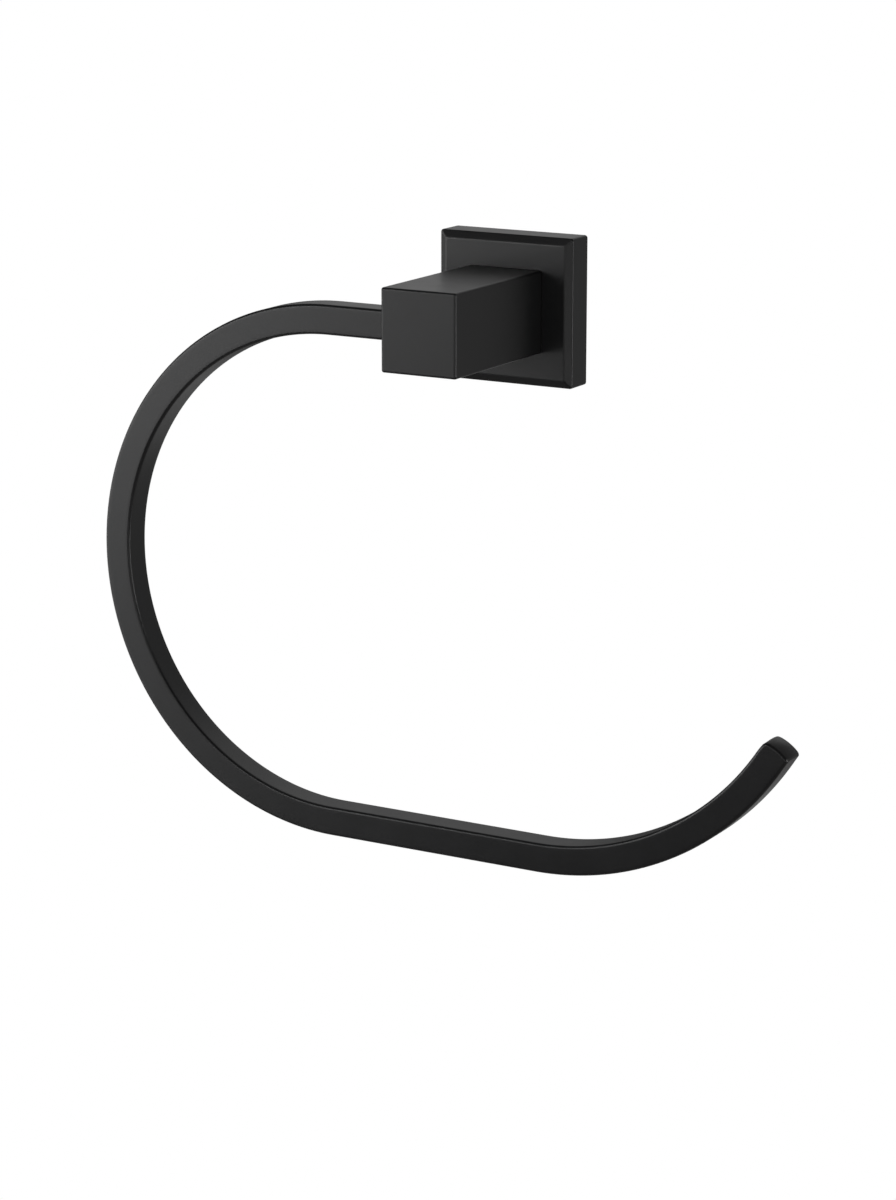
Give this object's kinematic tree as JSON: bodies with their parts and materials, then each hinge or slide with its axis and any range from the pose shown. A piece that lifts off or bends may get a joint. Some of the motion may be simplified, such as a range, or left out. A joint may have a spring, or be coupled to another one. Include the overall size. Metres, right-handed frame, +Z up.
{
  "type": "towel ring",
  "caption": "Wall-mounted towel ring: a square post on a bevelled square escutcheon carries an open ring of square bar whose free end rises at the right.",
  "frame": {"origin": "centre of the escutcheon's back face, on the wall plane", "axes": "+X right along the wall, +Y into the wall, +Z up; the front faces -Y"},
  "size_m": [0.2575, 0.0682, 0.201],
  "materials": {
    "black_coat": "matte black powder coat",
    "plated_steel": "bright zinc plate on pressed steel",
    "blackened_steel": "black oxide"
  },
  "bodies": {
    "root": {"escutcheon": "black_coat", "post": "black_coat", "ring_bar": "black_coat", "wall_bracket": "plated_steel", "post_screw": "plated_steel", "escutcheon_grub_screw": "blackened_steel", "bar_grub_screw": "blackened_steel"}
  },
  "joints": []
}
